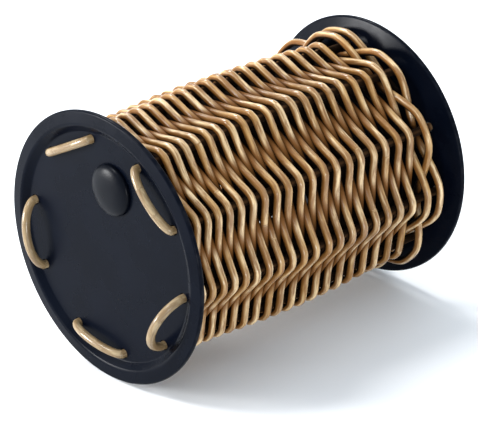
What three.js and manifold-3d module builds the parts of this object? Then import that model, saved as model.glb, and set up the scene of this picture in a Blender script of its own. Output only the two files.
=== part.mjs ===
// Caxixi: a shaker woven from round cane, closed by a black disc at each end
//
// Units are millimetres. X runs along the body from the front disc (-X) to the back disc (+X), Z is up.
// The shaker lies on its two rims, and the origin is on the floor under the middle of the body.
// Angles round the body are degrees clockwise from the top, as seen by someone facing the front disc.

import * as THREE from "three";
import { mergeVertices } from "three/addons/utils/BufferGeometryUtils.js";
import Module from "manifold-3d";

// Driving dimensions: discs
const RIM_D = 90;
const RIM_SPAN = 117.8; // crown of the front disc's lip to that of the back disc's
const DISC_T = 2;
const LIP_H = 2; // how far the crown of the lip round a disc stands proud of its flat face
const LIP_SLOPE = 2.5; // width of the slope from the flat face up to the crown
const RIM_FALL = 0.6; // how far the lip falls away from its crown to the rim
const RIM_T = 1.6;
const RIM_EDGE_R = 0.5;
const RIM_SIDES = 48; // facets round a rim, with one of them flat on the floor

// Driving dimensions: stakes
const CANES = 5; // each cane is a hairpin that makes two stakes
const STAKE_D = 2.75;
const STAKE_CIRCLE_D = 71;
const STAKE_BOW = 2; // how far the stakes swell outwards at mid length
const FIRST_STAKE_ANGLE = 25;
const LOOP_RISE = [3.4, 8.5, 3.4, 5.6, 2.6]; // crown of each loop above the disc, from the first stake on
const LOOP_LEAD = 0.9; // straight run out of a hole, before the loop bends over
const LOOP_LEAN = 3; // how far a loop leans over towards its other hole as it rises
const TAIL_GAP = 0.4; // between the two trimmed tails of a cane, behind the back disc
const STAKE_CLEARANCE = 0.3; // all round a stake in its hole
const HOLE_LAND = 0.7; // flat ring between the holes and the slope of the lip

// Driving dimensions: weavers
const WEAVER_D = 2.25;
const WEAVE_CLEARANCE = 0.3; // between a weaver and the stake that it passes
const WRAP_ANGLE = 30; // bend of a weaver on either side of a stake that it passes in front of
const CROSSING_GAP_FRONT = 0.12; // between the two weavers where they cross, in the tight front rows
const CROSSING_GAP_BACK = 1.1; // the same in the widest rows, towards the back
const CROSSING_GAP_CLOSING = 0.45; // the same in the closing rows, packed against the back disc
const CLOSING_TURNS = 2;
const CLOSING_BULGE = 3; // how far the closing rows stand out, where they aren't drawn tight
const FIRST_ROW_GAP = 2.8; // front disc to the edge of the first row
const LAST_ROW_GAP = 1.9; // edge of the last row to the back disc
const TAIL_SHARE = 0.25; // how far a loose end runs on towards the next stake
const PIECING_GAP = 0.4; // between two lengths of one weaver, hidden behind a stake

// Driving dimensions: filler plug
const PLUG_CAP_D = 17;
const PLUG_CAP_H = 3;
const PLUG_STEM_D = 12;
const PLUG_WALL = 1.6;
const PLUG_REACH = 3; // how far the stem stands out behind the disc
const PLUG_CLEARANCE = 0.3;
const PLUG_UP = 21; // above the middle of the disc
const PLUG_ASIDE = 3; // towards -Y
const DOME_FULLNESS = 0.5; // power that the round of the cap is raised to: less is flatter

// Driving dimensions: seeds
const SEED_D = 5.4;
const SEED_LENGTH = 6;
const SEED_CLEARANCE = 0.3;
const SEED_LANES = 5;
const SEED_SCATTER = 3; // step between the places where seeds lie along the body
const SCATTER_PLACES = 3;

// Facets
const HOLE_SIDES = 12;
const PLUG_SIDES = 24;
const STAKE_SIDES = 8;
const WEAVER_SIDES = 6;
const SEED_SIDES = 8;
const SEED_RINGS = 6;
const LEG_STEPS = 8;
const LOOP_STEPS = 10;
const DOME_STEPS = 4;
const EDGE_STEPS = 2;
const MERGE_TOLERANCE = 1e-4;

// Sizes that follow
const rimR = RIM_D / 2;
const axisHeight = rimR * Math.cos(Math.PI / RIM_SIDES);
const faceX = RIM_SPAN / 2 - LIP_H;
const innerX = faceX - DISC_T;
const stakes = 2 * CANES;
const stakeStep = 360 / stakes;
const stakeR = STAKE_D / 2;
const stakeHoleR = stakeR + STAKE_CLEARANCE;
const stakeCircleR = STAKE_CIRCLE_D / 2;
const flatR = stakeCircleR + stakeHoleR + HOLE_LAND;
const weaverR = WEAVER_D / 2;
const weaverFlats = WEAVER_D * Math.cos(Math.PI / WEAVER_SIDES); // across the facets that face along X
const weaveOffset = stakeR + weaverR + WEAVE_CLEARANCE;
const plugHoleR = PLUG_STEM_D / 2 + PLUG_CLEARANCE;

const axisX = new THREE.Vector3(1, 0, 0);

const wasm = await Module();
wasm.setup();

const blackSatin = new THREE.MeshStandardMaterial({ color: 0x17191d, roughness: 0.42, metalness: 0 });
const blackRubber = new THREE.MeshStandardMaterial({ color: 0x101114, roughness: 0.55, metalness: 0 });
const stakeCane = new THREE.MeshStandardMaterial({ color: 0xdcb987, roughness: 0.5, metalness: 0 });
const weaverCane = new THREE.MeshStandardMaterial({ color: 0xc08a4c, roughness: 0.4, metalness: 0 });
const seedShell = new THREE.MeshStandardMaterial({ color: 0xd9ccb2, roughness: 0.35, metalness: 0 });

// Direction straight out from the body's axis, at an angle round the body
function outward(angle) {
  const radians = THREE.MathUtils.degToRad(angle);
  return new THREE.Vector3(0, -Math.sin(radians), Math.cos(radians));
}

// Point at a place along the body, a distance from its axis and an angle round it
function around(x, radius, angle) {
  return outward(angle).multiplyScalar(radius).add(new THREE.Vector3(x, 0, axisHeight));
}

// Booleans need a closed mesh with its shared corners merged
function toSolid(geometry) {
  const bare = geometry.clone();
  bare.deleteAttribute("normal");
  bare.deleteAttribute("uv");
  const merged = mergeVertices(bare, MERGE_TOLERANCE);
  return new wasm.Manifold(new wasm.Mesh({
    numProp: 3,
    vertProperties: new Float32Array(merged.attributes.position.array),
    triVerts: new Uint32Array(merged.index.array),
  }));
}

function fromSolid(solid) {
  const mesh = solid.getMesh();
  const geometry = new THREE.BufferGeometry();
  geometry.setAttribute("position", new THREE.BufferAttribute(new Float32Array(mesh.vertProperties), 3));
  geometry.setIndex(new THREE.BufferAttribute(new Uint32Array(mesh.triVerts), 1));
  return geometry;
}

// Revolve of (radius, height) points about +Y, turned so that its height runs along +X or -X
function turned(points, sides, towards) {
  const profile = points.map(([radius, height]) => new THREE.Vector2(radius, height));
  const halfFacet = Math.PI / sides;
  const geometry = new THREE.LatheGeometry(profile, sides, halfFacet);
  geometry.rotateZ(towards > 0 ? -Math.PI / 2 : Math.PI / 2);
  return geometry;
}

// Points of a round in a profile, from one angle to another
function roundCorner(centreR, centreH, radius, fromAngle, toAngle, steps) {
  const points = [];
  for (let i = 0; i <= steps; i += 1) {
    const angle = THREE.MathUtils.degToRad(fromAngle + ((toAngle - fromAngle) * i) / steps);
    points.push([centreR + radius * Math.cos(angle), centreH + radius * Math.sin(angle)]);
  }
  return points;
}

// Round cane bent along a line of points, with flat ends. One of its facets faces along the reference.
function cane(points, radius, sides, reference) {
  const position = [];
  const index = [];
  const last = points.length - 1;
  points.forEach((point, i) => {
    const before = points[Math.max(i - 1, 0)];
    const after = points[Math.min(i + 1, last)];
    const into = point.clone().sub(before).normalize();
    const out = after.clone().sub(point).normalize();
    const along = into.add(out).normalize();
    const side = reference.clone().addScaledVector(along, -reference.dot(along)).normalize();
    const across = along.clone().cross(side);
    for (let k = 0; k < sides; k += 1) {
      const turn = (2 * Math.PI * (k + 0.5)) / sides;
      const corner = point.clone()
        .addScaledVector(side, radius * Math.cos(turn))
        .addScaledVector(across, radius * Math.sin(turn));
      position.push(corner.x, corner.y, corner.z);
    }
  });
  for (let i = 0; i < last; i += 1) {
    for (let k = 0; k < sides; k += 1) {
      const a = i * sides + k;
      const b = i * sides + ((k + 1) % sides);
      index.push(a, b, b + sides, a, b + sides, a + sides);
    }
  }
  for (let k = 1; k < sides - 1; k += 1) {
    index.push(0, k + 1, k);
    index.push(last * sides, last * sides + k, last * sides + k + 1);
  }
  const geometry = new THREE.BufferGeometry();
  geometry.setAttribute("position", new THREE.Float32BufferAttribute(position, 3));
  geometry.setIndex(index);
  return geometry;
}

// Discs

// Shallow pan, its outer face at height 0: a flat middle and a raised lip that thins out to a rounded rim
function discProfile() {
  const edgeR = rimR - RIM_EDGE_R;
  const rimTop = LIP_H - RIM_FALL;
  const rimBack = rimTop - RIM_T;
  return [
    [0, 0],
    [flatR, 0],
    [flatR + LIP_SLOPE, LIP_H],
    ...roundCorner(edgeR, rimTop - RIM_EDGE_R, RIM_EDGE_R, 90, 0, EDGE_STEPS),
    ...roundCorner(edgeR, rimBack + RIM_EDGE_R, RIM_EDGE_R, 0, -90, EDGE_STEPS),
    [flatR, -DISC_T],
    [0, -DISC_T],
  ].reverse();
}

// Round cutter right through a disc, along X
function drill(radius, sides, place) {
  const length = 2 * (DISC_T + LIP_H);
  const cutter = new THREE.CylinderGeometry(radius, radius, length, sides);
  cutter.rotateZ(Math.PI / 2);
  cutter.translate(place.x, place.y, place.z);
  return toSolid(cutter);
}

function disc(end, withFiller) {
  const blank = turned(discProfile(), RIM_SIDES, end);
  blank.translate(end * faceX, 0, axisHeight);
  const middle = end * (faceX - DISC_T / 2);
  let solid = toSolid(blank);
  for (let k = 0; k < stakes; k += 1) {
    const place = around(middle, stakeCircleR, FIRST_STAKE_ANGLE + k * stakeStep);
    solid = solid.subtract(drill(stakeHoleR, HOLE_SIDES, place));
  }
  if (withFiller) {
    const place = new THREE.Vector3(middle, -PLUG_ASIDE, axisHeight + PLUG_UP);
    solid = solid.subtract(drill(plugHoleR, PLUG_SIDES, place));
  }
  return fromSolid(solid);
}

// Filler plug: a domed cap on a hollow stem that grips the hole in the front disc
function fillerPlug() {
  const capR = PLUG_CAP_D / 2;
  const stemR = PLUG_STEM_D / 2;
  const stemEnd = -(DISC_T + PLUG_REACH);
  const flatten = PLUG_CAP_H / 2;
  const dome = [];
  for (let i = 0; i <= DOME_STEPS; i += 1) {
    const angle = (Math.PI / 2) * (1 - i / DOME_STEPS);
    dome.push([capR * Math.cos(angle) ** DOME_FULLNESS, flatten + flatten * Math.sin(angle)]);
  }
  const profile = [
    ...dome,
    [capR, PLUG_CLEARANCE],
    [stemR, PLUG_CLEARANCE],
    [stemR, stemEnd],
    [stemR - PLUG_WALL, stemEnd],
    [stemR - PLUG_WALL, -PLUG_CLEARANCE],
    [0, -PLUG_CLEARANCE],
  ].reverse();
  const geometry = turned(profile, PLUG_SIDES, -1);
  geometry.translate(-faceX, -PLUG_ASIDE, axisHeight + PLUG_UP);
  return geometry;
}

// Stakes

// Distance of a stake from the body's axis: straight through the discs, swelling between them
function stakeCentreR(x) {
  const share = Math.min(Math.abs(x) / innerX, 1);
  return stakeCircleR + STAKE_BOW * (1 - share * share) ** 2;
}

// Points of a loop over a disc's face, from one hole to the next, between two shares of its run
function loopPoints(end, rise, fromAngle, toAngle, fromShare, toShare) {
  const a = around(end * (faceX + LOOP_LEAD), stakeCircleR, fromAngle);
  const b = around(end * (faceX + LOOP_LEAD), stakeCircleR, toAngle);
  const crown = rise - LOOP_LEAD;
  const lift = new THREE.Vector3((end * crown * 4) / 3, 0, 0); // a cubic's crown is at 3/4 of its lift
  const lean = b.clone().sub(a).setLength(LOOP_LEAN);
  const aboveA = a.clone().add(lift).add(lean);
  const aboveB = b.clone().add(lift).sub(lean);
  const curve = new THREE.CubicBezierCurve3(a, aboveA, aboveB, b);
  const steps = Math.round(LOOP_STEPS * (toShare - fromShare));
  const points = [];
  for (let i = 0; i <= steps; i += 1) {
    points.push(curve.getPoint(fromShare + ((toShare - fromShare) * i) / steps));
  }
  return points;
}

// Points of one leg between the discs' inner faces, running towards +X or -X
function legPoints(angle, towards) {
  const points = [];
  for (let i = 0; i <= LEG_STEPS; i += 1) {
    const x = towards * innerX * ((2 * i) / LEG_STEPS - 1);
    points.push(around(x, stakeCentreR(x), angle));
  }
  return points;
}

// One cane: tail, leg to the front, loop on the front disc, leg to the back and the other tail
function stakeHairpin(number) {
  const angleA = FIRST_STAKE_ANGLE + 2 * number * stakeStep;
  const angleB = angleA + stakeStep;
  const rise = LOOP_RISE[number % LOOP_RISE.length];
  const spread = 2 * stakeCircleR * Math.sin(THREE.MathUtils.degToRad(stakeStep / 2));
  const midPace = 1.5 * (spread - LOOP_LEAN); // millimetres per share of the run, at the crown
  const tailShare = 0.5 - TAIL_GAP / 2 / midPace;
  const points = [
    ...loopPoints(1, rise, angleA, angleB, 0, tailShare).reverse(),
    ...legPoints(angleA, -1),
    ...loopPoints(-1, rise, angleA, angleB, 0, 1),
    ...legPoints(angleB, 1),
    ...loopPoints(1, rise, angleB, angleA, 0, tailShare),
  ];
  return cane(points, stakeR, STAKE_SIDES, outward(angleA + stakeStep / 2));
}

// Weavers: two canes chase each other round the stakes, each in front of every second stake

const firstRowX = -innerX + FIRST_ROW_GAP + weaverR;
const lastRowX = innerX - LAST_ROW_GAP - weaverR;
const frontPitch = 2 * (weaverFlats + CROSSING_GAP_FRONT); // from one turn of a weaver to its next
const backPitch = 2 * (weaverFlats + CROSSING_GAP_BACK);
const closingPitch = 2 * (weaverFlats + CROSSING_GAP_CLOSING);
const evenRun = lastRowX - firstRowX - CLOSING_TURNS * closingPitch;
const evenTurns = evenRun / ((frontPitch + backPitch) / 2);
const weaveTurns = evenTurns + CLOSING_TURNS;

// Place along the body after a number of turns: rows that open slowly, then the closing rows
function weaveX(turns) {
  if (turns > evenTurns) {
    return lastRowX - closingPitch * Math.max(weaveTurns - turns, 0);
  }
  const opening = (backPitch - frontPitch) / (2 * evenTurns);
  return firstRowX + frontPitch * turns + opening * turns * turns;
}

// How far a weaver stands out from the stakes that it passes in front of, beyond its tight place
function bulge(turns) {
  const closingStart = weaveTurns - CLOSING_TURNS;
  return CLOSING_BULGE * THREE.MathUtils.smoothstep(turns, closingStart, closingStart + CLOSING_TURNS / 2);
}

// Point of a weaver in front of a stake (1) or behind it (-1), moved along the weaver by a side step
function besideStake(weaver, stakeNumber, side, sideStep) {
  const stakeArc = stakeCircleR * THREE.MathUtils.degToRad(stakeStep);
  const turns = (stakeNumber + sideStep / stakeArc) / stakes + weaver / 2;
  const x = weaveX(turns);
  const offset = side > 0 ? weaveOffset + bulge(turns) : -weaveOffset;
  const bearing = FIRST_STAKE_ANGLE + stakeNumber * stakeStep;
  const along = outward(bearing + 90).multiplyScalar(sideStep);
  return around(x, stakeCentreR(x) + offset, bearing).add(along);
}

// Points of a weaver from one stake to another, both of which it passes behind
function weaverPoints(weaver, fromStake, toStake) {
  const halfFlat = weaveOffset * Math.tan(THREE.MathUtils.degToRad(WRAP_ANGLE));
  const points = [];
  for (let n = fromStake; n <= toStake; n += 1) {
    if ((n + weaver) % 2 === 0) {
      points.push(besideStake(weaver, n, 1, -halfFlat));
      points.push(besideStake(weaver, n, 1, halfFlat));
    } else {
      points.push(besideStake(weaver, n, -1, 0));
    }
  }
  return points;
}

// Loose end: runs on past its stake, without reaching the next
function looseEnd(endPoint, weaver, nextStake) {
  return endPoint.clone().lerp(besideStake(weaver, nextStake, 1, 0), TAIL_SHARE);
}

// Trim an end that meets the next length of the same weaver
function trim(points, atEnd) {
  const end = atEnd ? points[points.length - 1] : points[0];
  const inner = atEnd ? points[points.length - 2] : points[1];
  end.addScaledVector(inner.clone().sub(end).normalize(), PIECING_GAP / 2);
}

// A weaver starts and ends behind a stake, and is pieced behind one near its middle
function weaverLengths(weaver) {
  const first = 1 - weaver;
  const lastWanted = Math.floor(stakes * (weaveTurns - weaver / 2));
  const last = lastWanted - ((lastWanted - first) % 2);
  const halfway = first + 2 * Math.round((last - first) / 4);
  const front = weaverPoints(weaver, first, halfway);
  const back = weaverPoints(weaver, halfway, last);
  trim(front, true);
  trim(back, false);
  front.unshift(looseEnd(front[0], weaver, first - 1));
  back.push(looseEnd(back[back.length - 1], weaver, last + 1));
  return { front, back };
}

// Seeds

// Lanes lie side by side along the lowest part of the basket, clear of the inside of the weave
const weaveInsideR = stakeCircleR - weaveOffset - weaverR;
const laneR = weaveInsideR - SEED_CLEARANCE - SEED_D / 2;
const laneAngle = THREE.MathUtils.radToDeg(2 * Math.asin((SEED_D / 2 + SEED_CLEARANCE) / laneR));

function seed(lane, end) {
  const geometry = new THREE.SphereGeometry(SEED_D / 2, SEED_SIDES, SEED_RINGS);
  geometry.rotateZ(Math.PI / 2);
  geometry.scale(SEED_LENGTH / SEED_D, 1, 1);
  const angle = 180 + (lane - (SEED_LANES - 1) / 2) * laneAngle;
  const nearDisc = innerX - SEED_LENGTH / 2 - SEED_CLEARANCE;
  const scatter = SEED_SCATTER * (1 + ((2 * lane + (end > 0 ? 1 : 0)) % SCATTER_PLACES));
  const place = around(end * (nearDisc - scatter), laneR, angle);
  geometry.translate(place.x, place.y, place.z);
  return geometry;
}

// Assembly

const caxixi = new THREE.Group();
caxixi.name = "caxixi";

function add(name, geometry, material) {
  const mesh = new THREE.Mesh(geometry, material);
  mesh.name = name;
  caxixi.add(mesh);
}

add("front_disc", disc(-1, true), blackSatin);
add("back_disc", disc(1, false), blackSatin);
add("filler_plug", fillerPlug(), blackRubber);

for (let number = 0; number < CANES; number += 1) {
  add(`stake_cane_${number + 1}`, stakeHairpin(number), stakeCane);
}

["a", "b"].forEach((letter, weaver) => {
  const { front, back } = weaverLengths(weaver);
  add(`weaver_${letter}_front_length`, cane(front, weaverR, WEAVER_SIDES, axisX), weaverCane);
  add(`weaver_${letter}_back_length`, cane(back, weaverR, WEAVER_SIDES, axisX), weaverCane);
});

for (let lane = 0; lane < SEED_LANES; lane += 1) {
  add(`seed_front_${lane + 1}`, seed(lane, -1), seedShell);
  add(`seed_back_${lane + 1}`, seed(lane, 1), seedShell);
}

export default caxixi;
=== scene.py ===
# %% [markdown]
# # A woven cane shaker
#
# A caxixi is a small closed basket with seeds inside. Cane stakes run from one black end disc to the
# other, two thin canes are woven round them, and each stake cane comes out through the front disc as
# a pale loop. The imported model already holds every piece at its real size. This lesson makes the
# surfaces: round cane that bends over its stakes, moulded discs with soft edges, and the finishes.
#
# Everything is in metres. X runs along the body from the front disc (-X) to the back disc, Z is up.

import math
import random

import bmesh
import bpy
from mathutils import Euler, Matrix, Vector, noise


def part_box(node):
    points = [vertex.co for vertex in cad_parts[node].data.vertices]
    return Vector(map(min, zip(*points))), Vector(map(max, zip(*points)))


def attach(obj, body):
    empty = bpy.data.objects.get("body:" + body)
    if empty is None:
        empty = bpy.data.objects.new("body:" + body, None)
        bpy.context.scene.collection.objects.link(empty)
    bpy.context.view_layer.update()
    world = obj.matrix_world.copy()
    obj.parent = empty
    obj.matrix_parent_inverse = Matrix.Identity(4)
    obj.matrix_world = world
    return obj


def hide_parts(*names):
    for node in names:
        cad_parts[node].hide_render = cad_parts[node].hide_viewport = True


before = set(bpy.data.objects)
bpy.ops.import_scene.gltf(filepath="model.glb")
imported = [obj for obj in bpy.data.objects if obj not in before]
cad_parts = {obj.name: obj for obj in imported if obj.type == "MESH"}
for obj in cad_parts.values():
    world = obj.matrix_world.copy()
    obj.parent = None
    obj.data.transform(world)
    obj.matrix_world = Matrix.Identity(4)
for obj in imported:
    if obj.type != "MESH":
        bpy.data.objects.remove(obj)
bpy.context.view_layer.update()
scene = bpy.context.scene
MM = 0.001

# %% [markdown]
# ## Camera
#
# The view is a product photograph's: a long lens, a little above the object, with the front disc turned
# to the left. A camera could be matched by eye, but the two rims are circles of known size, so fitting
# them to the picture gives its place and direction more surely. A long lens far away keeps the two
# rims nearly the same size.

# %% Make the camera
CAMERA_AIM = Vector((-2.89, -2.18, 37.6)) * MM
CAMERA_AZIMUTH = math.radians(-43.02)
CAMERA_ELEVATION = math.radians(26.03)
CAMERA_DISTANCE = 0.8757
CAMERA_LENS = 203.35
SENSOR_WIDTH = 36.0


def direction_from(azimuth, elevation):
    """Unit vector from the object towards a viewer, with azimuth 0 on the -Y side."""
    flat = math.cos(elevation)
    return Vector((math.sin(azimuth) * flat, -math.cos(azimuth) * flat, math.sin(elevation)))


def aim_at(obj, place, target):
    """Put a camera or a lamp at a place and turn it towards a target."""
    obj.location = place
    obj.rotation_euler = (target - place).to_track_quat("-Z", "Y").to_euler()


camera = bpy.data.objects.new("camera", bpy.data.cameras.new("camera"))
camera.data.lens = CAMERA_LENS
camera.data.sensor_width = SENSOR_WIDTH
scene.collection.objects.link(camera)
view_place = CAMERA_AIM + direction_from(CAMERA_AZIMUTH, CAMERA_ELEVATION) * CAMERA_DISTANCE
aim_at(camera, view_place, CAMERA_AIM)
scene.camera = camera

print("camera at", [round(c, 4) for c in view_place])

# %% [markdown]
# ## Floor and light
#
# The object lies on a white sweep in a bright tent, so the shadow stays pale and a little blue. A picture
# of a studio could light it, but here a plain world colour is the tent, and four round lamps are easy
# to move one by one. The strongest lamp from above stands high behind: it lays the shadow towards the
# viewer and draws long lights along the tops of the strands. A smaller one stands high on the left and
# gives the crowns their crisp lights. A low one behind on the left puts a sheen on the discs, and a low
# one in front reaches the flank of the weave.

# %% Make the floor
FLOOR_SIZE = 8.0
FLOOR_COLOUR = (0.93, 0.94, 0.95, 1)
FLOOR_ROUGHNESS = 0.7
FLOOR_SHINE = 0.2


def object_from(bm, name):
    """Turn a bmesh into an object in the scene."""
    mesh = bpy.data.meshes.new(name)
    bm.to_mesh(mesh)
    bm.free()
    obj = bpy.data.objects.new(name, mesh)
    scene.collection.objects.link(obj)
    return obj


def new_material(name):
    """A material with nodes. It returns the material, its node tree and its shader."""
    material = bpy.data.materials.new(name)
    material.use_nodes = True
    tree = material.node_tree
    return material, tree, tree.nodes["Principled BSDF"]


floor_bm = bmesh.new()
bmesh.ops.create_grid(floor_bm, x_segments=1, y_segments=1, size=FLOOR_SIZE / 2)
floor = object_from(floor_bm, "floor")

floor_paint, _, floor_shader = new_material("floor_paint")
floor_shader.inputs["Base Color"].default_value = FLOOR_COLOUR
floor_shader.inputs["Roughness"].default_value = FLOOR_ROUGHNESS
floor_shader.inputs["Specular IOR Level"].default_value = FLOOR_SHINE
floor.data.materials.append(floor_paint)

print("floor", FLOOR_SIZE, "m across")

# %% Make the lights
WORLD_COLOUR = (0.85, 0.925, 1.0, 1)
WORLD_STRENGTH = 1.05


def soft_light(name, azimuth, elevation, distance, size, power):
    """A round lamp that shines at the middle of the view, in degrees, metres and watts."""
    lamp = bpy.data.lights.new(name, "AREA")
    lamp.shape = "DISK"
    lamp.size = size
    lamp.energy = power
    light = bpy.data.objects.new(name, lamp)
    scene.collection.objects.link(light)
    place = direction_from(math.radians(azimuth), math.radians(elevation)) * distance
    aim_at(light, CAMERA_AIM + place, CAMERA_AIM)
    print(name, "at", [round(c, 3) for c in light.location])


soft_light("key_light", azimuth=-117, elevation=48, distance=1.25, size=0.3, power=9)
soft_light("back_light", azimuth=172, elevation=52, distance=1.25, size=0.4, power=12)
soft_light("side_light", azimuth=-131, elevation=6, distance=1.2, size=0.28, power=20)
soft_light("front_softbox", azimuth=-30, elevation=2, distance=1.3, size=0.25, power=6)

world = bpy.data.worlds.new("studio")
world.use_nodes = True
tent = world.node_tree.nodes["Background"]
tent.inputs["Color"].default_value = WORLD_COLOUR
tent.inputs["Strength"].default_value = WORLD_STRENGTH
scene.world = world
scene.view_settings.view_transform = "Standard"

# %% [markdown]
# ## Measures from the frame
#
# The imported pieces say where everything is. The discs' boxes give the rim, its middle and the inner
# faces, and the few sizes that no box shows, such as the circle of stake holes, are written once here.

# %% Measure the frame
front_low, front_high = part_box("front_disc")
back_low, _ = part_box("back_disc")
AXIS_Z = (front_low.z + front_high.z) / 2
RIM_R = AXIS_Z
DISC_T = 2.0 * MM
LIP_H = 2.0 * MM
INNER_X = back_low.x
FACE_X = INNER_X + DISC_T
STAKES = 10
STAKE_STEP = 360 / STAKES
STAKE_R = 1.375 * MM
STAKE_CIRCLE_R = 35.5 * MM
STAKE_BOW = 2.0 * MM
FIRST_STAKE_ANGLE = 25

print("axis height", round(AXIS_Z, 5), "inner faces at", round(INNER_X, 5))


def outward(angle):
    """Direction straight out from the body's axis, in degrees clockwise from the front disc's top."""
    radians = math.radians(angle)
    return Vector((0, -math.sin(radians), math.cos(radians)))


def around(x, radius, angle):
    """Point at a place along the body, a distance from its axis and an angle round it."""
    return outward(angle) * radius + Vector((x, 0, AXIS_Z))


def stake_centre_r(x):
    """Stakes run straight through the discs and swell a little between them."""
    share = min(abs(x) / INNER_X, 1)
    return STAKE_CIRCLE_R + STAKE_BOW * (1 - share * share) ** 2


# %% [markdown]
# ## Finishes that several pieces share
#
# An effect that more than one material uses is a node group. A few helpers keep the groups short: each
# makes one node, takes numbers or other nodes' sockets, and returns the socket of the result.

# %% Helpers for shader nodes
# A Mix node has sockets of the same names for every kind of data, so the colours are found by number.
MIX_INPUTS = (0, 6, 7)
MIX_RESULT = 2


def feed(tree, socket, value):
    """Set a socket to a number or a colour, or link another socket to it."""
    if isinstance(value, bpy.types.NodeSocket):
        tree.links.new(value, socket)
    else:
        socket.default_value = value


def math_node(tree, operation, *values, clamp=False):
    node = tree.nodes.new("ShaderNodeMath")
    node.operation = operation
    node.use_clamp = clamp
    for socket, value in zip(node.inputs, values):
        feed(tree, socket, value)
    return node.outputs[0]


def noise_node(tree, place, scale, detail, roughness=0.5):
    node = tree.nodes.new("ShaderNodeTexNoise")
    settings = {"Vector": place, "Scale": scale, "Detail": detail, "Roughness": roughness}
    for name, value in settings.items():
        feed(tree, node.inputs[name], value)
    return node.outputs["Fac"]


def range_node(tree, value, low, high, out_low=0.0, out_high=1.0):
    """A smooth step from one result to another, as the value goes from low to high."""
    node = tree.nodes.new("ShaderNodeMapRange")
    node.interpolation_type = "SMOOTHSTEP"
    settings = {"Value": value, "From Min": low, "From Max": high, "To Min": out_low, "To Max": out_high}
    for name, setting in settings.items():
        feed(tree, node.inputs[name], setting)
    return node.outputs["Result"]


def mix_colour(tree, share, first, second):
    node = tree.nodes.new("ShaderNodeMix")
    node.data_type = "RGBA"
    for number, value in zip(MIX_INPUTS, (share, first, second)):
        feed(tree, node.inputs[number], value)
    return node.outputs[MIX_RESULT]


# %% Helpers for places and groups
def split_place(tree, place):
    """The coordinates of a place or a direction, as three sockets."""
    split = tree.nodes.new("ShaderNodeSeparateXYZ")
    tree.links.new(place, split.inputs[0])
    return split.outputs["X"], split.outputs["Y"], split.outputs["Z"]


def axis_distance(tree, across, height):
    """Distance from the body's axis."""
    squares = math_node(tree, "ADD",
                        math_node(tree, "MULTIPLY", across, across),
                        math_node(tree, "MULTIPLY", height, height))
    return math_node(tree, "SQRT", squares)


def new_group(name, inputs, outputs):
    """An empty shader group with named sockets, and its input and output nodes."""
    group = bpy.data.node_groups.new(name, "ShaderNodeTree")
    for socket_name, kind, default in inputs:
        socket = group.interface.new_socket(socket_name, in_out="INPUT", socket_type=kind)
        if default is not None:
            socket.default_value = default
    for socket_name, kind in outputs:
        group.interface.new_socket(socket_name, in_out="OUTPUT", socket_type=kind)
    return group, group.nodes.new("NodeGroupInput"), group.nodes.new("NodeGroupOutput")


# %% [markdown]
# Cane has fibres along its length, slow changes of tone and small blotches, whether it is a stake or a
# weaver. A picture of cane could be wrapped round it, but noise that is drawn out along the cane
# never repeats. It reads the piece's own UV map: U runs round the cane and V along it in metres. U is
# turned into a circle first, so the pattern closes without a seam.

# %% Cane fibre group
CANE_NOISE_ROUGHNESS = 0.62
FIBRE_DETAIL = 5.0
FIBRE_RANGE = (0.43, 0.60)
TONE_WIDTH = 0.35
TONE_DETAIL = 2.0
TONE_RANGE = (0.40, 0.60)
BLOTCH_WIDTH = 1.4
BLOTCH_LENGTH = 0.006
BLOTCH_DETAIL = 3.0
BLOTCH_RANGE = (0.42, 0.66)


def make_cane_fibre():
    group, source, result = new_group(
        "cane_fibre",
        [("UV", "NodeSocketVector", None),
         ("Fibres", "NodeSocketFloat", 1.0),
         ("Streak Length", "NodeSocketFloat", 0.010),
         ("Tone Length", "NodeSocketFloat", 0.018)],
        [("Fibre", "NodeSocketFloat"), ("Tone", "NodeSocketFloat"), ("Blotch", "NodeSocketFloat")])
    round_share, along, _ = split_place(group, source.outputs["UV"])
    turn = math_node(group, "MULTIPLY", round_share, 2 * math.pi)
    across = math_node(group, "COSINE", turn)
    upright = math_node(group, "SINE", turn)

    def drawn_out_noise(width_scale, length, detail):
        place = group.nodes.new("ShaderNodeCombineXYZ")
        group.links.new(math_node(group, "MULTIPLY", across, width_scale), place.inputs["X"])
        group.links.new(math_node(group, "MULTIPLY", upright, width_scale), place.inputs["Y"])
        group.links.new(math_node(group, "DIVIDE", along, length), place.inputs["Z"])
        return noise_node(group, place.outputs[0], 1.0, detail, CANE_NOISE_ROUGHNESS)

    fibre = drawn_out_noise(source.outputs["Fibres"], source.outputs["Streak Length"], FIBRE_DETAIL)
    tone = drawn_out_noise(TONE_WIDTH, source.outputs["Tone Length"], TONE_DETAIL)
    blotch = drawn_out_noise(BLOTCH_WIDTH, BLOTCH_LENGTH, BLOTCH_DETAIL)
    group.links.new(range_node(group, fibre, *FIBRE_RANGE), result.inputs["Fibre"])
    group.links.new(range_node(group, tone, *TONE_RANGE), result.inputs["Tone"])
    group.links.new(range_node(group, blotch, *BLOTCH_RANGE), result.inputs["Blotch"])
    return group


cane_fibre = make_cane_fibre()
print("node group:", cane_fibre.name)

# %% [markdown]
# Deep in the weave the cane is darker. This darkening is painted shade, standing for the shade that fills
# the hollows and the inside of the basket. An Ambient Occlusion node could find the hollows, but it is
# slow and grainy. The depth below the crowns follows from the distance to the body's axis, in Object
# coordinates, so it is the same from every side. Painted shade also darkens the flanks of a strand more
# than its crown, and whatever faces into the basket is painted darkest.

# %% Weave depth group
INSIDE_RANGE = (INNER_X + 1.0 * MM, INNER_X - 1.5 * MM)
FLANK_RANGE = (0.9, 0.2)
INWARD_RANGE = (0.1, -0.4)


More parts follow.
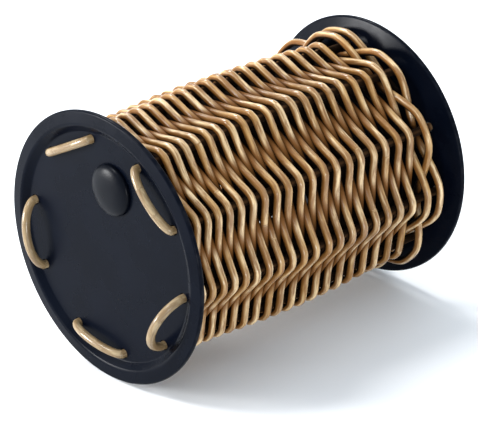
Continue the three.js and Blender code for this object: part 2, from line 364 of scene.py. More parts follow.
def make_weave_depth():
    group, source, result = new_group(
        "weave_depth",
        [("Crown", "NodeSocketFloat", 0.0), ("Pit", "NodeSocketFloat", -0.003)],
        [("Depth", "NodeSocketFloat"), ("Flank", "NodeSocketFloat"), ("Inward", "NodeSocketFloat")])
    coordinates = group.nodes.new("ShaderNodeTexCoord")
    along, across, level = split_place(group, coordinates.outputs["Object"])
    height = math_node(group, "SUBTRACT", level, AXIS_Z)
    radius = axis_distance(group, across, height)

    share = math_node(group, "DIVIDE", along, INNER_X)
    fall = math_node(group, "SUBTRACT", 1.0, math_node(group, "MULTIPLY", share, share), clamp=True)
    swell = math_node(group, "MULTIPLY", math_node(group, "MULTIPLY", fall, fall), STAKE_BOW)
    stake_line = math_node(group, "ADD", swell, STAKE_CIRCLE_R)
    proud = math_node(group, "SUBTRACT", radius, stake_line)
    # Painted shade: the deeper a point lies below the crowns, the darker the cane is painted.
    depth = range_node(group, proud, source.outputs["Crown"], source.outputs["Pit"])

    _, normal_across, normal_up = split_place(group, coordinates.outputs["Normal"])
    lean = math_node(group, "ADD",
                     math_node(group, "MULTIPLY", normal_across, across),
                     math_node(group, "MULTIPLY", normal_up, height))
    facing_out = math_node(group, "DIVIDE", lean, radius)
    # Painted shade on a strand's flanks, and the darkest painted shade on faces that look into the
    # basket.
    flank = range_node(group, facing_out, *FLANK_RANGE)
    inward = range_node(group, facing_out, *INWARD_RANGE)

    inside = range_node(group, math_node(group, "ABSOLUTE", along), *INSIDE_RANGE)
    for name, mask in (("Depth", depth), ("Flank", flank), ("Inward", inward)):
        group.links.new(math_node(group, "MULTIPLY", mask, inside), result.inputs[name])
    return group


weave_depth = make_weave_depth()
print("node group:", weave_depth.name)

# %% [markdown]
# Moulded plastic and rubber have a fine spark-eroded grain, slow smears from handling, and a rim that is
# rubbed a little paler where it rolls on tables. One group gives all three, and each material that
# uses it sets how strong they are.

# %% Moulded grain group
GRAIN_DETAIL = 2.0
SMEAR_DETAIL = 4.0
SMEAR_ROUGHNESS = 0.6
SMEAR_RANGE = (0.3, 0.7)
RUB_PATCH_SCALE = 420.0
RUB_PATCH_DETAIL = 3.0
RUB_PATCH_RANGE = (0.42, 0.66)


def make_moulded_grain():
    group, source, result = new_group(
        "moulded_grain",
        [("Grain Size", "NodeSocketFloat", 0.0004),
         ("Smear Size", "NodeSocketFloat", 0.02),
         ("Rub Start", "NodeSocketFloat", 0.0442),
         ("Rub End", "NodeSocketFloat", 0.0452)],
        [("Grain", "NodeSocketFloat"), ("Smear", "NodeSocketFloat"), ("Rub", "NodeSocketFloat")])
    place = group.nodes.new("ShaderNodeTexCoord").outputs["Object"]
    grain_scale = math_node(group, "DIVIDE", 1.0, source.outputs["Grain Size"])
    grain = noise_node(group, place, grain_scale, GRAIN_DETAIL)
    smear_scale = math_node(group, "DIVIDE", 1.0, source.outputs["Smear Size"])
    smear = noise_node(group, place, smear_scale, SMEAR_DETAIL, SMEAR_ROUGHNESS)
    _, across, level = split_place(group, place)
    height = math_node(group, "SUBTRACT", level, AXIS_Z)
    radius = axis_distance(group, across, height)
    edge = range_node(group, radius, source.outputs["Rub Start"], source.outputs["Rub End"])
    patch_noise = noise_node(group, place, RUB_PATCH_SCALE, RUB_PATCH_DETAIL)
    patches = range_node(group, patch_noise, *RUB_PATCH_RANGE)
    group.links.new(grain, result.inputs["Grain"])
    group.links.new(range_node(group, smear, *SMEAR_RANGE), result.inputs["Smear"])
    group.links.new(math_node(group, "MULTIPLY", edge, patches), result.inputs["Rub"])
    return group


moulded_grain = make_moulded_grain()
print("node group:", moulded_grain.name)

# %% [markdown]
# ## Materials
#
# Both canes use the same two groups. The weaver is golden and well varnished, with orange-brown painted
# shade in its hollows and black painted shade in its pits. The stake is paler and drier, and painted
# shade darkens it between the discs, so only its loops look lit. The varnish is a coat over the cane: it
# is bright on the crowns and fades on the flanks and in the hollows, and the cane under it shines very
# little.

# %% Cane materials
FIBRE_SHARE = 0.85
BLOTCH_SHARE = 0.6
FLANK_SHARE = 0.9
HOLLOW_SHADE_RANGE = (0.0, 0.6)
PIT_RANGE = (0.45, 1.0)
FIBRE_ROUGHENING = 0.16
HIDDEN_ROUGHENING = 0.5
VARNISH_RANGE = (0.05, 0.7)
VARNISH_ROUGHNESS = 0.2
FIBRE_BUMP = 0.5
FIBRE_RELIEF = 0.00012


def place_group(tree, group, **values):
    """Put a node group into a material, with this material's values."""
    node = tree.nodes.new("ShaderNodeGroup")
    node.node_tree = group
    for name, value in values.items():
        node.inputs[name.replace("_", " ")].default_value = value
    return node


def bump_into(tree, shader, height, strength, distance):
    bump = tree.nodes.new("ShaderNodeBump")
    bump.inputs["Strength"].default_value = strength
    bump.inputs["Distance"].default_value = distance
    tree.links.new(height, bump.inputs["Height"])
    tree.links.new(bump.outputs["Normal"], shader.inputs["Normal"])


def cane_material(name, pale, golden, brown, hollow_shade, pit_shade, crown_level, pit_level, rough, shine, varnish):
    """Cane from five colours: two tones, the fibre lines, and the painted shade of the weave's hollows
    and pits.
    """
    material, tree, shader = new_material(name)
    uv = tree.nodes.new("ShaderNodeUVMap")
    uv.uv_map = "UVMap"
    fibre = place_group(tree, cane_fibre)
    tree.links.new(uv.outputs["UV"], fibre.inputs["UV"])
    weave = place_group(tree, weave_depth, Crown=crown_level, Pit=pit_level)
    depth = weave.outputs["Depth"]
    flank = weave.outputs["Flank"]
    inward = weave.outputs["Inward"]

    tone = mix_colour(tree, fibre.outputs["Tone"], golden, pale)
    lines = math_node(tree, "MULTIPLY", fibre.outputs["Fibre"], FIBRE_SHARE)
    fibred = mix_colour(tree, lines, tone, brown)
    spots = math_node(tree, "MULTIPLY", fibre.outputs["Blotch"], BLOTCH_SHARE)
    blotched = mix_colour(tree, spots, fibred, brown)
    # Painted shade: the flank, depth and inward masks darken the base colour towards the hollow and pit
    # colours.
    flanked = mix_colour(tree, math_node(tree, "MULTIPLY", flank, FLANK_SHARE), blotched, hollow_shade)
    hollow_shaded = mix_colour(tree, range_node(tree, depth, *HOLLOW_SHADE_RANGE), flanked, hollow_shade)
    deep = mix_colour(tree, range_node(tree, depth, *PIT_RANGE), hollow_shaded, pit_shade)
    tree.links.new(mix_colour(tree, inward, deep, pit_shade), shader.inputs["Base Color"])

    hidden = math_node(tree, "MAXIMUM", depth, inward)
    shade = math_node(tree, "MAXIMUM", hidden, flank)
    gloss = range_node(tree, fibre.outputs["Fibre"], 0.0, 1.0, rough, rough + FIBRE_ROUGHENING)
    dull = math_node(tree, "MULTIPLY", hidden, HIDDEN_ROUGHENING)
    tree.links.new(math_node(tree, "ADD", gloss, dull, clamp=True), shader.inputs["Roughness"])
    tree.links.new(range_node(tree, shade, *VARNISH_RANGE, varnish, 0.0), shader.inputs["Coat Weight"])
    shader.inputs["Coat Roughness"].default_value = VARNISH_ROUGHNESS
    shader.inputs["Specular IOR Level"].default_value = shine
    bump_into(tree, shader, fibre.outputs["Fibre"], FIBRE_BUMP, FIBRE_RELIEF)
    print("material:", name)
    return material


# The hollow and pit colours of both canes below are painted shade.
weaver_cane = cane_material(
    "weaver_cane",
    pale=(0.70, 0.52, 0.29, 1), golden=(0.42, 0.245, 0.085, 1), brown=(0.19, 0.080, 0.018, 1),
    hollow_shade=(0.14, 0.054, 0.011, 1), pit_shade=(0.004, 0.0018, 0.0008, 1),
    crown_level=0.8 * MM, pit_level=-2.0 * MM, rough=0.26, shine=0.06, varnish=1.0)
stake_cane = cane_material(
    "stake_cane",
    pale=(0.315, 0.24, 0.14, 1), golden=(0.225, 0.156, 0.078, 1), brown=(0.15, 0.095, 0.045, 1),
    hollow_shade=(0.10, 0.045, 0.016, 1), pit_shade=(0.012, 0.0055, 0.0022, 1),
    crown_level=2.2 * MM, pit_level=1.0 * MM, rough=0.40, shine=0.08, varnish=0.5)

# %% [markdown]
# The discs are satin black plastic with a cold tinge, and the plug is black rubber with a softer light on
# its dome. One plain colour would look like a hole in the picture, so clouds of handling change both
# the colour and the roughness a little, and the rim of a disc is rubbed paler.

# %% Black materials
CLOUD_GAIN = 1.35
SMEAR_POLISHING = 0.05
SMEAR_DULLING = 0.06
MOULD_BUMP = 0.12
MOULD_RELIEF = 0.00006


def black_material(name, colour, pale, rough, shine, grain_size, rub):
    """Moulded black with clouds of handling, a rubbed rim and a fine grain."""
    material, tree, shader = new_material(name)
    grain = place_group(tree, moulded_grain, Grain_Size=grain_size)
    smear = grain.outputs["Smear"]
    lighter = tuple(c * CLOUD_GAIN for c in colour[:3]) + (1,)
    cloud = mix_colour(tree, smear, colour, lighter)
    worn = mix_colour(tree, math_node(tree, "MULTIPLY", grain.outputs["Rub"], rub), cloud, pale)
    tree.links.new(worn, shader.inputs["Base Color"])
    gloss = range_node(tree, smear, 0.0, 1.0, rough - SMEAR_POLISHING, rough + SMEAR_DULLING)
    tree.links.new(gloss, shader.inputs["Roughness"])
    shader.inputs["Specular IOR Level"].default_value = shine
    bump_into(tree, shader, grain.outputs["Grain"], MOULD_BUMP, MOULD_RELIEF)
    print("material:", name)
    return material


disc_black = black_material(
    "disc_black", colour=(0.0012, 0.0020, 0.0046, 1), pale=(0.02, 0.021, 0.025, 1),
    rough=0.28, shine=0.036, grain_size=0.00045, rub=0.4)
plug_rubber = black_material(
    "plug_rubber", colour=(0.0012, 0.0018, 0.0036, 1), pale=(0.02, 0.02, 0.024, 1),
    rough=0.32, shine=0.06, grain_size=0.0003, rub=0.0)

# %% [markdown]
# The seeds hardly show, but a glimpse of one through the weave is pale and polished. The same grain
# group, with smaller smears, gives their mottles.

# %% Seed material
SEED_PALE = (0.70, 0.62, 0.47, 1)
SEED_MOTTLE = (0.46, 0.33, 0.18, 1)
SEED_ROUGHNESS = (0.22, 0.38)
SEED_BUMP = 0.15
SEED_RELIEF = 0.00005


def seed_material():
    """A hard pale shell with darker mottles."""
    material, tree, shader = new_material("seed_shell")
    grain = place_group(tree, moulded_grain, Grain_Size=0.0006, Smear_Size=0.003)
    colour = mix_colour(tree, grain.outputs["Smear"], SEED_PALE, SEED_MOTTLE)
    tree.links.new(colour, shader.inputs["Base Color"])
    gloss = range_node(tree, grain.outputs["Grain"], 0.0, 1.0, *SEED_ROUGHNESS)
    tree.links.new(gloss, shader.inputs["Roughness"])
    bump_into(tree, shader, grain.outputs["Grain"], SEED_BUMP, SEED_RELIEF)
    print("material: seed_shell")
    return material


seed_shell = seed_material()

# %% [markdown]
# ## End discs
#
# Each disc is a shallow pan: a flat face, a slope up to a raised lip and a rim that thins out. It could
# be inset and extruded from a circle, but a lathe is the way such a form is drawn: a few corners are
# spun round the axis, and the rings of edges are then bevelled, which gives soft moulded corners
# without working out their points. The holes are cut by a Boolean and get a small chamfer. Weighted
# normals keep the flat face flat to the light right up to the holes.

# %% Helpers for pieces
MERGE_DISTANCE = 1e-7
RING_TOLERANCE = 1e-6


def finish_piece(obj, material, body, node):
    """Give a piece its finish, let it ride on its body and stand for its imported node."""
    obj.data.materials.clear()
    obj.data.materials.append(material)
    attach(obj, body)
    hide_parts(node)
    print(obj.name, len(obj.data.polygons), "faces")


def shade_smooth(mesh, sharp_degrees):
    mesh.shade_smooth()
    mesh.set_sharp_from_angle(angle=math.radians(sharp_degrees))


def lathe(profile, steps, towards, place):
    """Spin (radius, height) corners about an axis along X, with height pointing to -X or +X."""
    bm = bmesh.new()
    corners = [bm.verts.new((towards * height, 0, radius)) for radius, height in profile]
    edges = [bm.edges.new(pair) for pair in zip(corners, corners[1:])]
    bmesh.ops.spin(bm, geom=corners + edges, cent=(0, 0, 0), axis=(1, 0, 0),
                   angle=2 * math.pi, steps=steps, use_merge=True)
    bmesh.ops.remove_doubles(bm, verts=bm.verts, dist=MERGE_DISTANCE)
    bmesh.ops.translate(bm, verts=bm.verts, vec=place)
    bmesh.ops.recalc_face_normals(bm, faces=bm.faces)
    return bm


def bevel_ring(bm, place, radius, x, width, segments):
    """Round the ring of edges of a lathed shape that has this radius and place along X."""
    def on_ring(vert):
        offset = vert.co - place
        off_axis = math.hypot(offset.y, offset.z)
        return abs(off_axis - radius) < RING_TOLERANCE and abs(vert.co.x - x) < RING_TOLERANCE

    ring = [edge for edge in bm.edges if all(on_ring(vert) for vert in edge.verts)]
    bmesh.ops.bevel(bm, geom=ring, offset=width, offset_type="OFFSET",
                    segments=segments, profile=0.5, affect="EDGES", material=-1)


# %% Sizes of the discs
DISC_STEPS = 180
HOLE_LAND = 0.7 * MM
STAKE_CLEARANCE = 0.3 * MM
STAKE_HOLE_R = STAKE_R + STAKE_CLEARANCE
STAKE_HOLE_SIDES = 40
FLAT_R = STAKE_CIRCLE_R + STAKE_HOLE_R + HOLE_LAND
LIP_SLOPE = 2.5 * MM
CROWN_R = FLAT_R + LIP_SLOPE
RIM_FALL = 0.6 * MM
RIM_T = 1.6 * MM
RIM_TOP = LIP_H - RIM_FALL
RIM_BACK = RIM_TOP - RIM_T
RIM_ROUND = 0.6 * MM
CROWN_ROUND = 0.7 * MM
FOOT_ROUND = 0.35 * MM
BACK_ROUND = 0.8 * MM
ROUND_SEGMENTS = 5
FLAT_DEGREES = 0.05
HOLE_CHAMFER = 0.22 * MM
HOLE_EDGE_DEGREES = 60
DISC_SHARP_DEGREES = 35
PLUG_ASIDE = 3 * MM
PLUG_UP = 21 * MM
PLUG_PLACE = Vector((-FACE_X, -PLUG_ASIDE, AXIS_Z + PLUG_UP))
PLUG_HOLE_R = 6.3 * MM
PLUG_SIDES = 96
DRILL_LENGTH = 3 * (DISC_T + LIP_H)
QUARTER_TURN = Vector((0, 0, 1)).rotation_difference(Vector((1, 0, 0))).to_matrix()

print("flat face", round(FLAT_R, 5), "lip crown", round(CROWN_R, 5), "rim", round(RIM_R, 5))


# %% Make the discs
def hole_cutters(end, with_filler):
    """All the drills for one disc, as one object."""
    bm = bmesh.new()
    drills = []
    for k in range(STAKES):
        place = around(end * FACE_X, STAKE_CIRCLE_R, FIRST_STAKE_ANGLE + k * STAKE_STEP)
        drills.append((place, STAKE_HOLE_R, STAKE_HOLE_SIDES))
    if with_filler:
        drills.append((PLUG_PLACE, PLUG_HOLE_R, PLUG_SIDES))
    for place, radius, sides in drills:
        made = bmesh.ops.create_cone(bm, cap_ends=True, segments=sides, radius1=radius, radius2=radius,
                                     depth=DRILL_LENGTH)
        bmesh.ops.rotate(bm, verts=made["verts"], cent=(0, 0, 0), matrix=QUARTER_TURN)
        bmesh.ops.translate(bm, verts=made["verts"], vec=place)
    return object_from(bm, "drills")


def drill_holes(disc, drills):
    """Cut the drills out of a disc for good, and take them away."""
    cut = disc.modifiers.new("holes", "BOOLEAN")
    cut.object = drills
    cut.solver = "EXACT"
    graph = bpy.context.evaluated_depsgraph_get()
    drilled = bpy.data.meshes.new_from_object(disc.evaluated_get(graph))
    disc.modifiers.clear()
    disc.data = drilled
    bpy.data.objects.remove(drills)


def make_disc(name, end, with_filler):
    middle = Vector((end * FACE_X, 0, AXIS_Z))
    corners = [(0, 0), (FLAT_R, 0), (CROWN_R, LIP_H), (RIM_R, RIM_TOP), (RIM_R, RIM_BACK),
               (FLAT_R, -DISC_T), (0, -DISC_T)]
    rounds = [(RIM_R, RIM_TOP, RIM_ROUND), (RIM_R, RIM_BACK, RIM_ROUND), (CROWN_R, LIP_H, CROWN_ROUND),
              (FLAT_R, 0, FOOT_ROUND), (FLAT_R, -DISC_T, BACK_ROUND)]
    bm = lathe(corners, DISC_STEPS, end, middle)
    for radius, height, width in rounds:
        bevel_ring(bm, middle, radius, end * (FACE_X + height), width, ROUND_SEGMENTS)
    bmesh.ops.dissolve_limit(bm, angle_limit=math.radians(FLAT_DEGREES), verts=bm.verts, edges=bm.edges)
    disc = object_from(bm, name + "_pan")
    drill_holes(disc, hole_cutters(end, with_filler))
    shade_smooth(disc.data, DISC_SHARP_DEGREES)
    chamfer = disc.modifiers.new("chamfer", "BEVEL")
    chamfer.width = HOLE_CHAMFER
    chamfer.segments = 2
    chamfer.limit_method = "ANGLE"
    chamfer.angle_limit = math.radians(HOLE_EDGE_DEGREES)
    even = disc.modifiers.new("even_light", "WEIGHTED_NORMAL")
    even.keep_sharp = True
    finish_piece(disc, disc_black, "basket", name)


make_disc("front_disc", -1, True)
make_disc("back_disc", 1, False)

# %% [markdown]
# ## Filler plug
#
# The plug is a soft push-in button that closes the hole for the seeds: a low dome on a hollow stem. A
# squashed sphere could be its dome, but then the stem would be a second shape to join. As a lathe it is
# one shape: the dome is a flattened quarter round, so its points come from a formula, and the rest of
# the profile is a few corners with bevelled rings.

# %% Make the plug
PLUG_CAP_R = 8.5 * MM
PLUG_CAP_H = 3.0 * MM
PLUG_EDGE_H = 0.6 * MM
PLUG_STEM_R = 6.0 * MM
PLUG_WALL = 1.6 * MM
PLUG_BORE_R = PLUG_STEM_R - PLUG_WALL
PLUG_REACH = 3.0 * MM
PLUG_SEAT = 0.3 * MM
DOME_POINTS = 18
DOME_FULLNESS = 0.8
CAP_EDGE_ROUND = 0.12 * MM
STEM_ROUND = 0.4 * MM
BORE_ROUND = 0.3 * MM
PLUG_SHARP_DEGREES = 40


def make_plug():
    dome = []
    for i in range(DOME_POINTS + 1):
        angle = math.pi / 2 * (1 - i / DOME_POINTS)
        dome.append((PLUG_CAP_R * math.cos(angle) ** DOME_FULLNESS,
                     PLUG_EDGE_H + (PLUG_CAP_H - PLUG_EDGE_H) * math.sin(angle)))
    stem_end = -(DISC_T + PLUG_REACH)
    stem_end_x = -(FACE_X + stem_end)
    profile = dome + [(PLUG_CAP_R, PLUG_SEAT), (PLUG_STEM_R, PLUG_SEAT), (PLUG_STEM_R, stem_end),
                      (PLUG_BORE_R, stem_end), (PLUG_BORE_R, -PLUG_SEAT), (0, -PLUG_SEAT)]
    bm = lathe(profile, PLUG_SIDES, -1, PLUG_PLACE)
    bevel_ring(bm, PLUG_PLACE, PLUG_CAP_R, -(FACE_X + PLUG_SEAT), CAP_EDGE_ROUND, segments=2)
    bevel_ring(bm, PLUG_PLACE, PLUG_STEM_R, stem_end_x, STEM_ROUND, segments=3)
    bevel_ring(bm, PLUG_PLACE, PLUG_BORE_R, stem_end_x, BORE_ROUND, segments=3)
    plug = object_from(bm, "filler_plug_button")
    shade_smooth(plug.data, PLUG_SHARP_DEGREES)
    finish_piece(plug, plug_rubber, "filler_plug", "filler_plug")


make_plug()

# %% [markdown]
# ## Stake canes
#
# Each cane is a hairpin. Its crown is the loop on the front disc, its legs are two stakes, and its
# trimmed tails are turned over behind the back disc. It could be extruded ring by ring, but a curve with
# a round bevel turns its rings by itself. It becomes a mesh at the end, with its ends welded and its UV
# map measured in metres along the cane, because fibres need a true length. Each cane's measure starts
# at its own number of metres, so no two canes have the same marks.

# %% Cane from a line of points
CANE_OFFSET = 7.3
CURVE_STEPS = 6
CANE_SHARP_DEGREES = 50
made_canes = []


def measure_uv(bm, offset):
    """A bevelled curve's UV map runs along and round it: turn it over, with metres along the cane."""
    uv = bm.loops.layers.uv.active
    loops = [loop for face in bm.faces for loop in face.loops]
    edge_line = {loop[uv].uv.x: loop.vert.co for loop in loops if loop[uv].uv.y == 0}
    places = sorted(edge_line)
    metres = {places[0]: offset}
    for before, after in zip(places, places[1:]):
        metres[after] = metres[before] + (edge_line[after] - edge_line[before]).length
    for loop in loops:
        along, turn = loop[uv].uv
        loop[uv].uv = (turn, metres[along])


def bent_cane(name, points, radius, sides, order, radii):
    """The mesh of a curve with a round bevel of an even number of sides."""
    curve = bpy.data.curves.new(name, "CURVE")
    curve.dimensions = "3D"
    curve.twist_mode = "MINIMUM"
    spline = curve.splines.new("NURBS" if order else "POLY")
    spline.points.add(len(points) - 1)
    for number, (target, point) in enumerate(zip(spline.points, points)):
        target.co = (*point, 1)
        target.radius = radii[number] if radii else 1.0
    if order:
        spline.order_u = order
        spline.use_endpoint_u = True
        spline.resolution_u = CURVE_STEPS
    curve.bevel_depth = radius
    curve.bevel_resolution = sides // 2 - 2
    curve.use_fill_caps = True
    bent = bpy.data.objects.new(name, curve)
    scene.collection.objects.link(bent)
    graph = bpy.context.evaluated_depsgraph_get()
    mesh = bpy.data.meshes.new_from_object(bent.evaluated_get(graph))
    bpy.data.objects.remove(bent)
    return mesh


def cane_piece(name, points, radius, sides, material, node, order=None, radii=None):
    """Bend round cane along points. With an order, the points steer a NURBS curve instead."""
    bm = bmesh.new()
    bm.from_mesh(bent_cane(name, points, radius, sides, order, radii))
    bmesh.ops.remove_doubles(bm, verts=bm.verts, dist=MERGE_DISTANCE)
    measure_uv(bm, CANE_OFFSET * len(made_canes))
    bmesh.ops.recalc_face_normals(bm, faces=bm.faces)
    obj = object_from(bm, name)
    obj.data.uv_layers[0].name = "UVMap"
    shade_smooth(obj.data, CANE_SHARP_DEGREES)
    finish_piece(obj, material, "basket", node)
    made_canes.append(sum((b - a).length for a, b in zip(points, points[1:])))


# %% Make the stake canes
LOOP_RISE = [3.4 * MM, 8.5 * MM, 3.4 * MM, 5.6 * MM, 2.6 * MM]
LOOP_LEAD = 0.9 * MM
LOOP_LEAN = 3.0 * MM
TAIL_GAP = 0.4 * MM
LOOP_STEPS = 44
LEG_STEPS = 60
STAKE_SIDES = 16


def loop_points(end, rise, from_angle, to_angle, share):
    """Cubic arc over a disc's face, out of one hole and over to the next, up to a share of its run."""
    a = around(end * (FACE_X + LOOP_LEAD), STAKE_CIRCLE_R, from_angle)
    b = around(end * (FACE_X + LOOP_LEAD), STAKE_CIRCLE_R, to_angle)
    lift = Vector((end * (rise - LOOP_LEAD) * 4 / 3, 0, 0))
    lean = (b - a).normalized() * LOOP_LEAN
    above_a = a + lift + lean
    above_b = b + lift - lean
    points = []
    steps = round(LOOP_STEPS * share)
    for i in range(steps + 1):
        t = share * i / steps
        s = 1 - t
        points.append(a * s ** 3 + above_a * 3 * s * s * t + above_b * 3 * s * t * t + b * t ** 3)
    return points


def leg_points(angle, towards):
    """A stake between the inner faces of the discs."""
    points = []
    for i in range(LEG_STEPS + 1):
        x = towards * INNER_X * (2 * i / LEG_STEPS - 1)
        points.append(around(x, stake_centre_r(x), angle))
    return points


def make_stake(number, rise):
    angle_a = FIRST_STAKE_ANGLE + 2 * number * STAKE_STEP
    angle_b = angle_a + STAKE_STEP
    spread = 2 * STAKE_CIRCLE_R * math.sin(math.radians(STAKE_STEP / 2))
    half = 0.5 - TAIL_GAP / (3 * (spread - LOOP_LEAN))
    points = list(reversed(loop_points(1, rise, angle_a, angle_b, half)))
    points += leg_points(angle_a, -1)
    points += loop_points(-1, rise, angle_a, angle_b, 1.0)
    points += leg_points(angle_b, 1)
    points += loop_points(1, rise, angle_b, angle_a, half)
    node = f"stake_cane_{number + 1}"
    cane_piece(node + "_hairpin", points, STAKE_R, STAKE_SIDES, stake_cane, node)


for cane_number, loop_rise in enumerate(LOOP_RISE):
    make_stake(cane_number, loop_rise)

# %% [markdown]
# ## Weavers
#
# Two canes chase each other round the stakes, half a row apart, and each passes in front of every second
# stake. A helix with a wave in it could draw them, but it would be even all round, and real cane isn't:
# the rows are packed tight at the front disc and open out towards the back, and the two closing rows
# aren't drawn tight, so they stand out in soft arcs. So the place of a row along the body is worked out
# first, from the turns that a weaver has made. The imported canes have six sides, and these rows are as
# far apart as theirs: a row holds both weavers, each as wide as over two flats, with a small gap.

# %% Rows of the weave
WEAVER_D = 2.25 * MM
WEAVER_R = WEAVER_D / 2
PACKED_SIDES = 6
WEAVER_FLATS = WEAVER_D * math.cos(math.pi / PACKED_SIDES)
CROSSING_GAP_FRONT = 0.12 * MM
CROSSING_GAP_BACK = 1.1 * MM
CROSSING_GAP_CLOSING = 0.45 * MM
FRONT_PITCH = 2 * (WEAVER_FLATS + CROSSING_GAP_FRONT)
BACK_PITCH = 2 * (WEAVER_FLATS + CROSSING_GAP_BACK)
CLOSING_PITCH = 2 * (WEAVER_FLATS + CROSSING_GAP_CLOSING)
CLOSING_TURNS = 2
CLOSING_BULGE = 3.4 * MM
END_ROW_GAP = 1.4 * MM
FIRST_ROW_X = -INNER_X + END_ROW_GAP + WEAVER_R
LAST_ROW_X = INNER_X - END_ROW_GAP - WEAVER_R
EVEN_RUN = LAST_ROW_X - FIRST_ROW_X - CLOSING_TURNS * CLOSING_PITCH
EVEN_TURNS = EVEN_RUN / ((FRONT_PITCH + BACK_PITCH) / 2)
WEAVE_TURNS = EVEN_TURNS + CLOSING_TURNS

print("turns of each weaver:", round(WEAVE_TURNS, 2))


def weave_x(turns):
    """Place along the body after some turns: rows that open slowly, then the closing rows."""
    if turns > EVEN_TURNS:
        return LAST_ROW_X - CLOSING_PITCH * max(WEAVE_TURNS - turns, 0)
    opening = (BACK_PITCH - FRONT_PITCH) / (2 * EVEN_TURNS)
    return FIRST_ROW_X + FRONT_PITCH * turns + opening * turns * turns


def bulge(turns):
    """How far the closing rows stand out in front of a stake."""
    share = min(max((turns - EVEN_TURNS) / (CLOSING_TURNS / 2), 0), 1)
    return CLOSING_BULGE * share * share * (3 - 2 * share)


# %% [markdown]
# Cane isn't equally thick all along: it is pressed flat and broad where it is pinched behind a stake, it
# shares a row with the other weaver where they cross, and the tight rows take thinner cane. Here the
# girth says so, as a share of the cane's own thickness, and the curve's points carry it as their radius.

# %% Girth of a weaver
LEAN_GIRTH = 1.05
FULL_GIRTH = 1.12
BROADEST_GIRTH = 1.9
SEED_ROOM_R = 31.4 * MM


def opened(x):
    """How far the rows have opened out, from 0 at the front disc to 1 at the back."""
    return min(max((x - FIRST_ROW_X) / (LAST_ROW_X - FIRST_ROW_X), 0), 1)


def crown_girth(x):
    """On the crowns the tight rows at the front are leaner, and from halfway on the cane is full."""
    return LEAN_GIRTH + (FULL_GIRTH - LEAN_GIRTH) * min(2 * opened(x), 1)


def crossing_girth(x):
    """Where two strands cross, each has half a row, and in the open rows it keeps its full girth."""
    pitch = FRONT_PITCH + (BACK_PITCH - FRONT_PITCH) * opened(x)
    return min(pitch / 2 / WEAVER_D, FULL_GIRTH)


def behind_girth(x):
    """Cane that is pinched behind a stake spreads, as far as the seeds' room lets it."""
    room = stake_centre_r(x) - STAKE_R - SEED_ROOM_R
    return min(room / WEAVER_D, BROADEST_GIRTH)


print("girth behind a stake at mid length:", round(behind_girth(0), 2))

# %% [markdown]
# On the crown over a stake the cane bends sharply, and between stakes it is nearly straight. A NURBS
# curve with its control points close together at the crown bends in that way. The closing rows get
# no control points on their legs, which leaves them their soft arcs. Hand weaving is never even, so
# each pass is shifted a little by smooth noise.

# %% Places of a weaver by a stake
CROWN_CLEARANCE = 0.15 * MM
FRONT_OFFSET = STAKE_R + WEAVER_R + CROWN_CLEARANCE
WRAP_ANGLE = 30
HALF_FLAT = FRONT_OFFSET * math.tan(math.radians(WRAP_ANGLE))
ARC_REACH = 7.5 * MM
ARC_FALL = 1.3 * MM
STAKE_ARC = STAKE_CIRCLE_R * math.radians(STAKE_STEP)
SWAY_ALONG_FRONT = 0.16 * MM
SWAY_ALONG_BACK = 0.42 * MM
SWAY_OUT = 0.2 * MM
SWAY_GAIN = 1.6
NOISE_STEP = 0.73
NOISE_WEAVER = (9.1, 1.7)
NOISE_CHANNEL = (5.7, 0.3)
ALONG_CHANNEL = 0
OUT_CHANNEL = 1


def sway(weaver, stake_number, channel):
    """Smooth unevenness of hand weaving, from -1 to 1, the same on every run."""
    weaver_step, weaver_start = NOISE_WEAVER
    channel_step, channel_start = NOISE_CHANNEL
    place = Vector((stake_number * NOISE_STEP,
                    weaver * weaver_step + weaver_start,
                    channel * channel_step + channel_start))
    return max(-1.0, min(1.0, SWAY_GAIN * noise.noise(place)))


def beside_stake(weaver, stake_number, offset, side_step):
    """Point of a weaver out from a stake by an offset, and along the weaver by a side step."""
    turns = (stake_number + side_step / STAKE_ARC) / STAKES + weaver / 2
    play = SWAY_ALONG_FRONT + (SWAY_ALONG_BACK - SWAY_ALONG_FRONT) * turns / WEAVE_TURNS
    x = weave_x(turns) + play * sway(weaver, stake_number, ALONG_CHANNEL)
    bearing = FIRST_STAKE_ANGLE + stake_number * STAKE_STEP
    return around(x, stake_centre_r(x) + offset, bearing) + outward(bearing + 90) * side_step


def front_points(weaver, stake_number):
    """Three points over a stake: close together in the tight rows, an arc in the closing rows."""
    out = bulge(stake_number / STAKES + weaver / 2)
    loose = out / CLOSING_BULGE
    reach = HALF_FLAT + loose * (ARC_REACH - HALF_FLAT)
    offset = FRONT_OFFSET + out + SWAY_OUT * max(0, sway(weaver, stake_number, OUT_CHANNEL))
    side_offset = offset - loose * ARC_FALL
    points = [beside_stake(weaver, stake_number, side_offset, -reach),
              beside_stake(weaver, stake_number, offset, 0),
              beside_stake(weaver, stake_number, side_offset, reach)]
    return [(point, crown_girth(point.x)) for point in points]


def behind_points(weaver, stake_number):
    """Two points behind a stake, where the pinched cane is broader."""
    girth = behind_girth(weave_x(stake_number / STAKES + weaver / 2))
    offset = STAKE_R + WEAVER_R * girth
    steps = (-HALF_FLAT / 2, HALF_FLAT / 2)
    return [(beside_stake(weaver, stake_number, -offset, step), girth) for step in steps]


# %% Route of a weaver
LEG_POINT_STEP = 4.5 * MM
CROSSING_SHARPNESS = 5.5
PIECING_GAP = 0.4 * MM
TAIL_SHARE = 0.25


def weaver_ends(weaver):
    """The stakes that a weaver starts, is pieced and ends behind."""
    first = 1 - weaver
    wanted = math.floor(STAKES * (WEAVE_TURNS - weaver / 2))
    last = wanted - (wanted - first) % 2
    halfway = first + 2 * round((last - first) / 4)
    return first, halfway, last


def weaver_points(weaver, from_stake, to_stake):
    """Control points, each with its girth, between two stakes that the weaver passes behind."""
    points = []
    for n in range(from_stake, to_stake + 1):
        in_front = (n + weaver) % 2 == 0
        points += front_points(weaver, n) if in_front else behind_points(weaver, n)
    return points


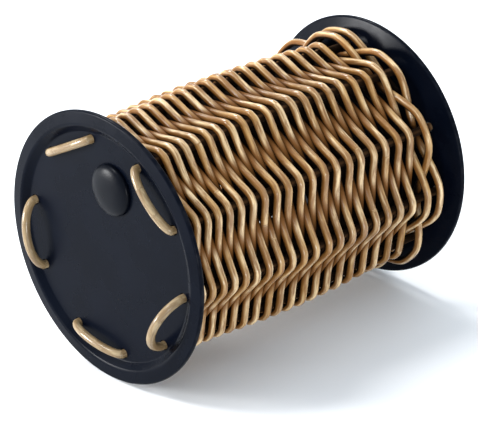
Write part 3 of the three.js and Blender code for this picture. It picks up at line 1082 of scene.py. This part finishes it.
def with_leg_points(points):
    """Add points along the straight legs of the tight rows, so that the bends stay over the stakes."""
    closing_x = weave_x(EVEN_TURNS)
    denser = [points[0]]
    for (a, girth_a), (b, girth_b) in zip(points, points[1:]):
        pieces = 1 if a.x > closing_x else max(1, round((b - a).length / LEG_POINT_STEP))
        thin, broad = sorted((girth_a, girth_b))
        for i in range(1, pieces + 1):
            share = i / pieces
            inner = share if girth_b > girth_a else 1 - share
            beside = broad if inner > 0.5 else thin
            away = min(CROSSING_SHARPNESS * abs(inner - 0.5), 1)
            point = a.lerp(b, share)
            crossing = crossing_girth(point.x)
            denser.append((point, crossing + (beside - crossing) * away))
    return denser


def moved_towards(place, other, distance):
    """A control point shifted towards another one, with its own girth."""
    return (place[0] + (other[0] - place[0]).normalized() * distance, place[1])


def loose_end(place, weaver, stake_number):
    """A trimmed end runs on past its stake, without reaching the next."""
    return (place[0].lerp(beside_stake(weaver, stake_number, FRONT_OFFSET, 0), TAIL_SHARE), 1.0)


# %% Make the weavers
WEAVER_SIDES = 14
WEAVER_ORDER = 3
GIRTH_PLAY = 0.06


def make_weaver(letter, weaver):
    first, halfway, last = weaver_ends(weaver)
    front = weaver_points(weaver, first, halfway)
    back = weaver_points(weaver, halfway, last)
    front[-1] = moved_towards(front[-1], front[-2], PIECING_GAP / 2)
    back[0] = moved_towards(back[0], back[1], PIECING_GAP / 2)
    front.insert(0, loose_end(front[0], weaver, first - 1))
    back.append(loose_end(back[-1], weaver, last + 1))
    for part, points in (("front", front), ("back", back)):
        route = with_leg_points(points)
        dice = random.Random(f"{letter}{part}")
        radii = [girth * (1 + GIRTH_PLAY * (dice.random() - 0.5)) for _, girth in route]
        node = f"weaver_{letter}_{part}_length"
        cane_piece(node + "_cane", [point for point, _ in route], WEAVER_R, WEAVER_SIDES, weaver_cane,
                   node, order=WEAVER_ORDER, radii=radii)


make_weaver("a", 0)
make_weaver("b", 1)
print("cane in all:", round(sum(made_canes), 2), "m")

# %% [markdown]
# ## Seeds
#
# The seeds are hard grass seeds, like small drops: a rounded end, a blunt tip and a shallow groove. A
# lathe would give a drop without its groove, so each starts as an icosphere, whose even faces take both
# shapes. It is drawn out along its length and gets its own turn, so no two show the same side.

# %% Make the seeds
SEED_LANES = 5
SEED_TAPER = 0.22
SEED_FINENESS = 4
GROOVE_DEPTH = 0.06
GROOVE_WIDTH = 0.07
TURN_BY_LANE = 137
TURN_BY_END = {"front": 0, "back": 71}
SEED_SHARP_DEGREES = 60


def make_seed(end_name, lane):
    node = f"seed_{end_name}_{lane + 1}"
    low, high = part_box(node)
    bm = bmesh.new()
    bmesh.ops.create_icosphere(bm, subdivisions=SEED_FINENESS, radius=0.5)
    for vert in bm.verts:
        along = 2 * vert.co.x
        girth = 1 - SEED_TAPER * max(0, along) ** 2
        groove = GROOVE_DEPTH * math.exp(-(vert.co.y / GROOVE_WIDTH) ** 2) * (vert.co.z < 0)
        vert.co.y *= girth
        vert.co.z *= girth * (1 - groove)
    spin = math.radians((lane * TURN_BY_LANE + TURN_BY_END[end_name]) % 360)
    flip = math.pi if lane % 2 else 0
    bmesh.ops.rotate(bm, verts=bm.verts, cent=(0, 0, 0), matrix=Euler((spin, 0, flip)).to_matrix())
    bmesh.ops.scale(bm, verts=bm.verts, vec=high - low)
    bmesh.ops.translate(bm, verts=bm.verts, vec=(low + high) / 2)
    seed = object_from(bm, node + "_shell")
    shade_smooth(seed.data, SEED_SHARP_DEGREES)
    finish_piece(seed, seed_shell, node, node)


for seed_end in TURN_BY_END:
    for seed_lane in range(SEED_LANES):
        make_seed(seed_end, seed_lane)
